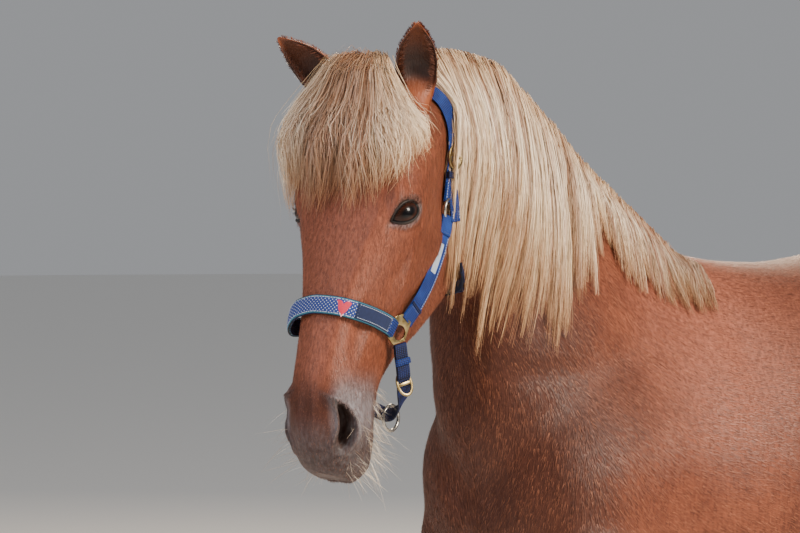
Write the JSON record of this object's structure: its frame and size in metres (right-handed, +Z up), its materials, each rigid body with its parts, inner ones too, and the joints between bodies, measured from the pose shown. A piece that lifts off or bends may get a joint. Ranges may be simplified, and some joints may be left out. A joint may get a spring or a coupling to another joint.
{
  "type": "standing horse museum model with headcollar",
  "caption": "Life-size chestnut Icelandic horse, standing still, with a flaxen mane and forelock over its left side and a blue webbing headcollar.",
  "frame": {"origin": "on the floor, under the middle of the standing horse's bounding box", "axes": "+X from tail to head along the trunk, +Y towards the horse's left, +Z up"},
  "size_m": [2.004, 0.524, 1.7338],
  "materials": {
    "coat": "short satin hair",
    "skin_dark": "bare dark skin, soft sheen",
    "horn": "smooth hoof horn",
    "eye": "wet, clear",
    "webbing": "ribbed woven webbing",
    "webbing_dark": "ribbed woven webbing",
    "fitting": "polished, slightly warm plate",
    "mane_hair": "long straight hair, satin"
  },
  "bodies": {
    "root": {"cheekpiece_left": "webbing", "cheekpiece_right": "webbing", "chin_strap": "webbing_dark", "crown_ring_left": "fitting", "crown_ring_right": "fitting", "crown_slide": "fitting", "crown_strap": "webbing", "crown_strap_end": "webbing", "ear_left": "coat", "ear_right": "coat", "eye_left": "eye", "eye_right": "eye", "forehoof_left": "horn", "forehoof_right": "horn", "foreleg_left": "coat", "foreleg_right": "coat", "head": "coat", "hindhoof_left": "horn", "hindhoof_right": "horn", "hindleg_left": "coat", "hindleg_right": "coat", "lead_ring": "fitting", "neck": "coat", "noseband": "webbing", "side_plate_left": "fitting", "side_plate_right": "fitting", "snap_hook": "fitting", "tail": "mane_hair", "throat_strap": "webbing_dark", "torso": "coat"}
  },
  "joints": []
}
